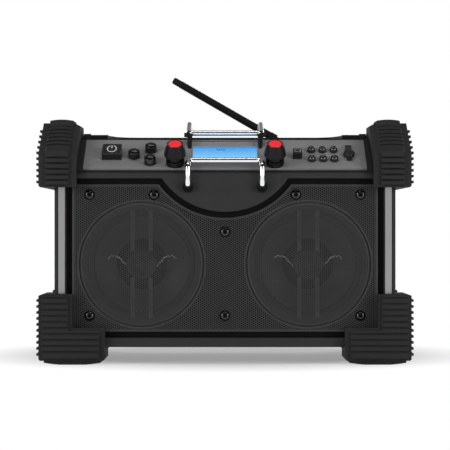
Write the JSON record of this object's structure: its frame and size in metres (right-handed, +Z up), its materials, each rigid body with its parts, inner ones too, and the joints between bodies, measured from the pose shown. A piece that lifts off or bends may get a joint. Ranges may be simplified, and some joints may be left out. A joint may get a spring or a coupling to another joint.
{
  "type": "jobsite radio",
  "caption": "Rugged jobsite radio with rubber corner guards, twin speakers behind a steel grille, sloped control panel with chrome guard bars, folding handle and tilting antenna.",
  "frame": {"origin": "on the ground, under the middle of the radio", "axes": "+X to the right seen from the front, +Y towards the back, +Z up"},
  "size_m": [0.4594, 0.235, 0.3665],
  "materials": {
    "black_plastic": "fine moulded texture, near black",
    "frame_plastic": "fine moulded texture, dark grey",
    "panel_grey": "satin mid grey",
    "rubber": "matt black rubber",
    "key_rubber": "smooth black rubber",
    "grille_steel": "black powder coat, perforated",
    "aluminium": "satin anodised",
    "chrome": "bright",
    "red_plastic": "glossy red",
    "lens": "clear lens",
    "display_blue": "lit blue",
    "led_blue": "clear blue",
    "screw_black": "black zinc",
    "board_green": "solder mask",
    "speaker_steel": "black enamel",
    "cone_black": "pressed poly cone",
    "magnet_dark": "ferrite",
    "tweeter_black": "gloss black",
    "shaft_steel": "turned",
    "battery_wrap": "shrink sleeve"
  },
  "bodies": {
    "housing": {"antenna_base": "black_plastic", "aux_socket": "black_plastic", "battery_pack": "battery_wrap", "cabinet": "black_plastic", "control_board": "board_green", "control_panel": "panel_grey", "display_lens": "lens", "foot_guard_front_left": "rubber", "foot_guard_front_right": "rubber", "foot_guard_rear_left": "rubber", "foot_guard_rear_right": "rubber", "front_frame": "frame_plastic", "front_guard_bar": "chrome", "grille_screws": "screw_black", "guard_grommets": "rubber", "guard_posts": "key_rubber", "knob_collars": "key_rubber", "lcd_module": "display_blue", "main_board": "board_green", "mains_inlet": "black_plastic", "power_led": "led_blue", "rear_cover": "black_plastic", "rear_cover_screws": "screw_black", "rear_guard_bar": "chrome", "side_rails": "aluminium", "speaker_baffle": "black_plastic", "speaker_basket_left": "speaker_steel", "speaker_basket_right": "speaker_steel", "speaker_cone_left": "cone_black", "speaker_cone_right": "cone_black", "speaker_grille": "grille_steel", "speaker_magnets": "magnet_dark", "speaker_surrounds": "key_rubber", "top_guard_front_left": "rubber", "top_guard_front_right": "rubber", "top_guard_rear_left": "rubber", "top_guard_rear_right": "rubber", "tweeter_left": "tweeter_black", "tweeter_right": "tweeter_black"},
    "volume_knob": {"volume_knob": "key_rubber", "volume_knob_cap": "red_plastic", "volume_shaft": "shaft_steel"},
    "tuning_knob": {"tuning_knob": "key_rubber", "tuning_knob_cap": "red_plastic", "tuning_shaft": "shaft_steel"},
    "handle": {"carry_handle": "rubber"},
    "antenna": {"antenna_whip": "rubber"},
    "aux_cover": {"aux_cover": "key_rubber"},
    "battery_door": {"battery_door": "black_plastic"},
    "mode_button": {"mode_button": "key_rubber"},
    "power_button": {"power_button": "key_rubber"},
    "preset_button_1": {"preset_button_1": "key_rubber"},
    "preset_button_2": {"preset_button_2": "key_rubber"},
    "preset_button_3": {"preset_button_3": "key_rubber"},
    "preset_button_4": {"preset_button_4": "key_rubber"},
    "preset_button_5": {"preset_button_5": "key_rubber"},
    "preset_button_6": {"preset_button_6": "key_rubber"},
    "seek_down_button": {"seek_down_button": "key_rubber"},
    "seek_up_button": {"seek_up_button": "key_rubber"},
    "source_button": {"source_button": "key_rubber"}
  },
  "joints": [
    {"name": "mode_button_press", "type": "slide", "parent": "housing", "child": "mode_button", "axis": [0, 0.5621, -0.8271], "range_m": [0, 0.0012], "stiffness_N_per_m": 500, "springref_m": -0.001},
    {"name": "power_button_press", "type": "slide", "parent": "housing", "child": "power_button", "axis": [0, 0.5621, -0.8271], "range_m": [0, 0.0012], "stiffness_N_per_m": 500, "springref_m": -0.001},
    {"name": "preset_button_1_press", "type": "slide", "parent": "housing", "child": "preset_button_1", "axis": [0, 0.5621, -0.8271], "range_m": [0, 0.0012], "stiffness_N_per_m": 500, "springref_m": -0.001},
    {"name": "preset_button_2_press", "type": "slide", "parent": "housing", "child": "preset_button_2", "axis": [0, 0.5621, -0.8271], "range_m": [0, 0.0012], "stiffness_N_per_m": 500, "springref_m": -0.001},
    {"name": "preset_button_3_press", "type": "slide", "parent": "housing", "child": "preset_button_3", "axis": [0, 0.5621, -0.8271], "range_m": [0, 0.0012], "stiffness_N_per_m": 500, "springref_m": -0.001},
    {"name": "preset_button_4_press", "type": "slide", "parent": "housing", "child": "preset_button_4", "axis": [0, 0.5621, -0.8271], "range_m": [0, 0.0012], "stiffness_N_per_m": 500, "springref_m": -0.001},
    {"name": "preset_button_5_press", "type": "slide", "parent": "housing", "child": "preset_button_5", "axis": [0, 0.5621, -0.8271], "range_m": [0, 0.0012], "stiffness_N_per_m": 500, "springref_m": -0.001},
    {"name": "preset_button_6_press", "type": "slide", "parent": "housing", "child": "preset_button_6", "axis": [0, 0.5621, -0.8271], "range_m": [0, 0.0012], "stiffness_N_per_m": 500, "springref_m": -0.001},
    {"name": "seek_down_button_press", "type": "slide", "parent": "housing", "child": "seek_down_button", "axis": [0, 0.5621, -0.8271], "range_m": [0, 0.0012], "stiffness_N_per_m": 500, "springref_m": -0.001},
    {"name": "seek_up_button_press", "type": "slide", "parent": "housing", "child": "seek_up_button", "axis": [0, 0.5621, -0.8271], "range_m": [0, 0.0012], "stiffness_N_per_m": 500, "springref_m": -0.001},
    {"name": "source_button_press", "type": "slide", "parent": "housing", "child": "source_button", "axis": [0, 0.5621, -0.8271], "range_m": [0, 0.0012], "stiffness_N_per_m": 500, "springref_m": -0.001},
    {"name": "volume_turn", "type": "hinge", "parent": "housing", "child": "volume_knob", "pos_m": [-0.061, -0.09215, 0.24531], "axis": [0, -0.5621, 0.8271], "continuous": true},
    {"name": "tuning_turn", "type": "hinge", "parent": "housing", "child": "tuning_knob", "pos_m": [0.061, -0.09215, 0.24531], "axis": [0, -0.5621, 0.8271], "continuous": true},
    {"name": "handle_lift", "type": "hinge", "parent": "housing", "child": "handle", "pos_m": [0, -0.00299, 0.27778], "axis": [1, 0, 0], "range_deg": [0, 90]},
    {"name": "antenna_tilt", "type": "hinge", "parent": "housing", "child": "antenna", "pos_m": [0.0749, 0.088, 0.28058], "axis": [0, 1, 0], "range_deg": [-27, 118]},
    {"name": "aux_cover_lift", "type": "hinge", "parent": "housing", "child": "aux_cover", "pos_m": [0.1531, -0.06135, 0.2683], "axis": [-1, 0, 0], "range_deg": [0, 105]},
    {"name": "battery_door_open", "type": "hinge", "parent": "housing", "child": "battery_door", "pos_m": [0, 0.1015, 0.1435], "axis": [1, 0, 0], "range_deg": [0, 90]}
  ]
}
